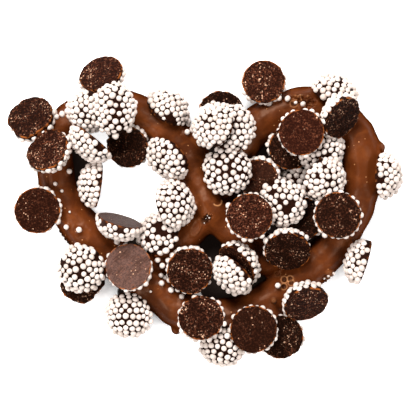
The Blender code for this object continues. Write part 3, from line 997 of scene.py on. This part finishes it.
@dataclass
class Coat:
    """The chocolate coat over the rope, and the chocolate that holds the drops."""

    rope: Solid
    voxel: float = 0.5 * MM
    quick_voxel: float = 1.8  # against voxel
    mark_cuts: int = 3
    mark_floor: float = 2 * MM
    smoothing: int = 9
    waves: tuple[tuple[float, float], ...] = (
        (7.5 * MM, 0.36 * MM), (3.4 * MM, 0.24 * MM), (1.4 * MM, 0.04 * MM))
    calm_height: float = 0.3 * MM  # the waves fade down to this height
    calm_fade: float = 1.5 * MM
    foot_height: float = 1.3 * MM
    foot_width: float = 0.45 * MM
    foot_length: float = 4.0 * MM
    glue_reach: float = 1.1 * MM
    glue_radius: float = 0.95 * MM
    glue_spacing: float = 1.0 * MM
    glue_most: int = 9
    # side_height and side_slope set where the coat gets painted shade and a dull finish
    side_height: float = 3.0 * MM
    side_slope: float = 0.78
    mound_width: float = 1.35  # a loose bead's mound in millimetres, for a bead of the usual size
    mound_height: float = 0.30
    bead_sink: float = 0.35

    def joints(self, drop: Solid, below: Sequence[Solid]) -> list[Dab]:
        """Finds where chocolate holds a drop to what lies below it.

        Args:
            drop: The drop.
            below: What it may touch.

        Returns:
            The dabs of chocolate.
        """
        found = []
        for point in np.concatenate([drop.points, drop.centres]):
            for other in below:
                place, _, _, distance = other.tree.find_nearest(Vector(point), self.glue_reach)
                if place is not None:
                    found.append((distance, (point + np.array(place)) / 2))
        found.sort(key=lambda pair: pair[0])
        dabs: list[Dab] = []
        for distance, middle in found:
            if all(np.linalg.norm(middle - other) > self.glue_spacing for other, _ in dabs):
                dabs.append((middle, self.glue_radius - 0.25 * distance))
            if len(dabs) == self.glue_most:
                break
        return dabs

    def drawn(self, points: np.ndarray, faces: np.ndarray, dabs: Sequence[Dab]) -> Skin:
        """Draws one soft skin over a shape and dabs of chocolate.

        Args:
            points: The shape's points.
            faces: Its faces.
            dabs: The dabs.

        Returns:
            The skin, with its normals.
        """
        shape = shape_of(points, faces)
        bmesh.ops.remove_doubles(shape, verts=shape.verts[:], dist=0.001 * MM)
        for middle, radius in dabs:
            at = Matrix.Translation(middle)
            bmesh.ops.create_icosphere(shape, subdivisions=2, radius=radius, matrix=at)
        mesh = bpy.data.meshes.new("drawn")
        shape.to_mesh(mesh)
        shape.free()
        work = placed("drawn", mesh)
        remesh = work.modifiers.new("remesh", "REMESH")
        remesh.mode = "VOXEL"
        remesh.voxel_size = self.voxel * 1.0
        smooth = work.modifiers.new("smooth", "SMOOTH")
        smooth.factor = 0.5
        smooth.iterations = self.smoothing
        fine = bpy.data.meshes.new_from_object(work.evaluated_get(bpy.context.evaluated_depsgraph_get()))
        bpy.data.objects.remove(work)
        normals = np.array([v.normal for v in fine.vertices])
        skin_points = np.array([v.co for v in fine.vertices])
        return Skin(skin_points, [tuple(p.vertices) for p in fine.polygons], {"normals": normals})

    def build(self, dabs: Sequence[Dab]) -> Skin:
        """Builds the coated rope.

        Args:
            dabs: The chocolate that holds the drops to the rope.

        Returns:
            The coat, with its marks and its steep sides, where shade is painted, stored at each point.
        """
        skin = self.refined(self.drawn(self.rope.points, self.rope.faces, dabs))
        normals = skin.stored.pop("normals")
        points, level, slope = skin.points, skin.points[:, 2], normals[:, 2]
        height = np.zeros(len(points))
        for number, (size, depth) in enumerate(self.waves):
            height += depth * ripple(points, size, 10.0 * number)
        height *= np.clip((level - self.calm_height) / self.calm_fade, 0, 1)
        foot = np.clip(1 - level / self.foot_height, 0, 1) * np.clip(1 - np.abs(slope), 0, 1)
        height += self.foot_width * foot * np.clip(ripple(points, self.foot_length, 50.0) + 0.35, 0, 1)
        upper = np.clip(0.6 + slope / 0.35, 0, 1)
        # light is the marks' paler colour, partly a painted highlight; dark is painted shade
        light, dark = np.zeros(len(points)), np.zeros(len(points))
        for mark in MARKS:
            shape = upper * mark.shape(points)
            height += mark.height * MM * shape
            light += max(mark.tint, 0) * np.clip(shape, 0, 1)
            dark += max(-mark.tint, 0) * np.clip(shape, 0, 1)
        for x, y, size in LOOSE_BEADS:
            width = self.mound_width * size
            mound = Mark(MarkKind.BUMP, x, y, width, width, self.mound_height * size)
            height += mound.height * MM * upper * mound.shape(points)
        skin.points = points + normals * height[:, None]
        # painted shade: side is high near the table and on steep slopes, where the material darkens and dulls
        # the coat
        low, steep = np.clip(1 - level / self.side_height, 0, 1), np.clip(1 - slope / self.side_slope, 0, 1)
        skin.stored["side"] = np.clip(low + 0.8 * steep, 0, 1)
        skin.stored.update(light=np.clip(light, 0, 1), dark=np.clip(dark * (1 - light), 0, 1))
        return skin

    def refined(self, skin: Skin) -> Skin:
        """Cuts the faces round the marks finer.

        Args:
            skin: The coat.

        Returns:
            The coat with smaller faces there, and its normals.
        """
        shape = shape_of(skin.points, skin.faces)
        middles = np.array([f.calc_center_median() for f in shape.faces])
        near = np.zeros(len(middles), bool)
        for mark in (mark for mark in MARKS if mark.height):
            near |= np.linalg.norm(middles[:, :2] - on_plan(mark.x, mark.y), axis=1) < mark.reach()
        near &= middles[:, 2] > self.mark_floor
        edges = {edge for face, cut in zip(shape.faces, near) if cut for edge in face.edges}
        bmesh.ops.subdivide_edges(shape, edges=list(edges), cuts=self.mark_cuts, use_grid_fill=True)
        shape.normal_update()
        shape.verts.index_update()
        points, normals = (np.array([getattr(v, key) for v in shape.verts]) for key in ("co", "normal"))
        faces = [tuple(v.index for v in f.verts) for f in shape.faces]
        shape.free()
        return Skin(points, faces, {"normals": normals})

    def loose_beads(self, skin: Skin) -> Beads:
        """Sets the loose beads on the coat.

        Args:
            skin: The coat.

        Returns:
            The beads.
        """
        over_all, over_floor, beside = 40 * MM, 0.5 * MM, 5 * MM
        tree = BVHTree.FromPolygons(skin.points.tolist(), skin.faces)
        middles, outward, radii = [], [], []
        for x, y, size in LOOSE_BEADS:
            place, normal, _, _ = tree.ray_cast(Vector((*on_plan(x, y), over_all)), Vector((0, 0, -1)))
            if place is None or place.z < over_floor:
                place, normal, _, _ = tree.find_nearest(Vector((*on_plan(x, y), beside)))
            middles.append(np.array(place + normal * (self.bead_sink * LOOSE_RADIUS * size)))
            outward.append(np.array(normal))
            radii.append(LOOSE_RADIUS * size)
        return Beads(np.array(middles), np.array(outward), np.array(radii))


class Zone(Enum):
    """A stretch of the pretzel from left to right, whose drops share one piece of beads."""

    LEFT = (-1.0, -9 * MM)
    MIDDLE = (-9 * MM, 15 * MM)
    RIGHT = (15 * MM, 1.0)

    def holds(self, x: float) -> bool:
        """Whether a place from left to right is in the zone."""
        return self.value[0] <= x < self.value[1]


@dataclass
class Pretzel:
    """The whole pretzel: its coat, its drops and all sugar beads."""

    rope: Solid = field(default_factory=lambda: Solid.read("pretzel"))
    drops: list[BeadedDrop] = field(default_factory=list)

    def __post_init__(self) -> None:
        """Reads every drop from the frame."""
        names = sorted(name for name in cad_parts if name.startswith("drop_"))
        for seed, name in enumerate(names):
            solid = Solid.read(name)
            self.drops.append(BeadedDrop(solid, DropForm.of(solid), LOOKS.get(name, Look()), seed))

    def build(self) -> None:
        """Builds and dresses every piece."""
        milk, bead = MilkCoat().material(), SugarBead().material()
        dark = {finish.grain: finish.material() for finish in DARK_CHOCOLATES}
        coat = Coat(self.rope)
        dabs = [dab for drop in self.drops for dab in coat.joints(drop.solid, [self.rope])]
        skin = coat.build(dabs)
        skin.piece("coated_rope", milk, "milk_chocolate", "pretzel")

        between = []
        for number, drop in enumerate(self.drops):
            between += coat.joints(drop.solid, [other.solid for other in self.drops[:number]])
        joints = coat.drawn(np.empty((0, 3)), np.empty((0, 3)), between)
        none = np.zeros(len(joints.points))
        # painted shade: the chocolate between the drops is darkened towards the coat's shade colour
        joints.stored = {"light": none, "side": none, "dark": none + 0.35}
        joints.piece("drop_joints", milk, "milk_chocolate")

        by_zone: dict[Zone, list[Beads]] = {zone: [] for zone in Zone}
        for drop in self.drops:
            name = drop.solid.name
            drop.body().piece(f"{name}_chocolate", dark[drop.look.grain], "dark_chocolate", name)
            others = [other.solid for other in self.drops if other is not drop]
            zone = next(zone for zone in Zone if zone.holds(drop.form.middle[0]))
            by_zone[zone].append(drop.beads(others, self.rope))
        maker = BeadMaker()
        for zone, lots in by_zone.items():
            maker.skin(Beads.joined(lots)).piece(f"sugar_beads_{zone.name.lower()}", bead, "sugar_beads")
        maker.skin(coat.loose_beads(skin)).piece("loose_sugar_beads", bead, "sugar_beads")


@dataclass(frozen=True)
class Studio:
    """A pale floor, soft light from above and the camera straight over the pretzel."""

    lens: float = 500.0
    sensor: float = 36.0
    middle_height: float = 10 * MM
    lamp_size: float = 0.75
    lamp_distance: float = 1.20
    lamp_height: float = 1.50
    # Each lamp's name, its bearing in degrees from +X and its watts.
    lamps: tuple[tuple[str, float, float], ...] = (
        ("back", 106.0, 64.0), ("left", 200.0, 30.0), ("right", 338.0, 23.0))
    sky: float = 0.12
    floor_size: float = 1.6
    # painted light: the floor glows with its own shaded colour
    floor_glow: float = 0.50
    pale: tuple[Colour, Colour] = (srgb(247, 247, 247), srgb(250, 250, 250))
    deep_shade: Colour = srgb(24, 17, 14)
    shade_reach: float = 12 * MM
    # The floor's deeply shaded places: the pixel of the middle, the reach and the strength of each one. A
    # strength under 0 takes shade away.
    enclosed: tuple[tuple[float, float, float, float], ...] = (
        (257.0, 222.0, 22 * MM, 0.6), (216.0, 289.0, 4.5 * MM, 0.6), (79.0, 165.0, 5 * MM, 0.6),
        (124.0, 293.0, 2.2 * MM, 0.6), (136.0, 243.0, 3.4 * MM, 0.6), (214.0, 151.0, 3 * MM, 0.6),
        (101.0, 139.0, 4.5 * MM, -0.9))
    # The floor's open places between the drops, which a painted glow keeps white in their shadow: the pixel
    # of the middle and the reach.
    open_places: tuple[tuple[float, float, float], ...] = (
        (101.0, 139.0, 5.0 * MM), (129.0, 181.0, 8.5 * MM), (101.0, 206.0, 3.0 * MM))
    open_glow: Colour = (1.7, 1.7, 1.7)
    soft_edge: float = 1.5 * MM

    def camera(self) -> None:
        """Sets the camera, which holds the photo's whole width at the middle height."""
        data = bpy.data.cameras.new("camera")
        data.lens = self.lens
        data.sensor_width = self.sensor
        distance = PHOTO_SIDE * PIXEL * self.lens / self.sensor
        camera = placed("camera", data)
        camera.location = (*on_plan(PHOTO_SIDE / 2, PHOTO_SIDE / 2), self.middle_height + distance)
        bpy.context.scene.camera = camera

    def spot(self, graph: Graph, x: float, y: float, reach: float) -> Value:
        """A round spot on the floor.

        Args:
            graph: The floor's material.
            x: The pixel of its middle, from the left.
            y: The same from the top.
            reach: How far it reaches.

        Returns:
            The mask, 1 inside the spot and 0 beside it.
        """
        ends = {0: graph.place, 1: (*on_plan(x, y), 0.0)}
        away = graph.node("ShaderNodeVectorMath", {"operation": "DISTANCE"}, ends, "Value")
        return 1 - away.over(reach - self.soft_edge, reach)

    def floor(self) -> None:
        """Lays the pale floor, with painted shade where it is hemmed in and a painted glow that is strongest
        at the open places.
        """
        graph = Graph("floor")
        near = {"Distance": self.shade_reach}
        open_air = graph.node("ShaderNodeAmbientOcclusion", {"samples": 16}, near, "AO")
        for x, y, reach, strength in self.enclosed:
            open_air = open_air - strength * self.spot(graph, x, y, reach)
        pale = graph.mix(graph.grain(0.12), *self.pale)
        shade = graph.mix(open_air.over(0.12, 0.36), self.deep_shade, pale)
        glow = shade
        for x, y, reach in self.open_places:
            glow = graph.mix(self.spot(graph, x, y, reach), glow, self.open_glow)
        material = graph.finish(Base_Color=shade, Roughness=0.8, Specular_IOR_Level=0.05, Emission_Color=glow,
                                Emission_Strength=self.floor_glow)
        mesh = bpy.data.meshes.new("floor")
        half = self.floor_size / 2
        corners = [(-half, -half, 0), (half, -half, 0), (half, half, 0), (-half, half, 0)]
        mesh.from_pydata(corners, [], [(0, 1, 2, 3)])
        mesh.materials.append(material)
        placed("floor", mesh)

    def lamp(self, name: str, bearing: float, power: float) -> None:
        """Sets a soft square light that faces the pretzel.

        Args:
            name: The light's name.
            bearing: Where it stands round the pretzel, in degrees from +X.
            power: Its power in watts.
        """
        data = bpy.data.lights.new(name, "AREA")
        data.energy = power
        data.shape = "SQUARE"
        data.size = self.lamp_size
        turn = math.radians(bearing)
        aside = self.lamp_distance
        lamp = placed(name, data)
        lamp.location = (aside * math.cos(turn), aside * math.sin(turn), self.lamp_height)
        lamp.rotation_euler = lamp.location.to_track_quat("Z", "Y").to_euler()

    def sky_light(self) -> None:
        """Sets a dim white sky."""
        world = bpy.data.worlds.new("sky")
        world.use_nodes = True
        backdrop = world.node_tree.nodes["Background"]
        backdrop.inputs["Color"].default_value = (1.0, 1.0, 1.0, 1.0)
        backdrop.inputs["Strength"].default_value = self.sky
        bpy.context.scene.world = world

    def build(self) -> None:
        """Sets up the whole studio."""
        self.floor()
        for name, bearing, power in self.lamps:
            self.lamp(name, bearing, power)
        self.sky_light()
        self.camera()
        bpy.context.scene.view_settings.view_transform = "Standard"


def main() -> None:
    """Builds every piece and the studio."""
    logging.basicConfig(level=logging.INFO, format="%(name)s: %(message)s", stream=sys.stdout)
    Pretzel().build()
    Studio().build()


if __name__ == "__main__":
    main()
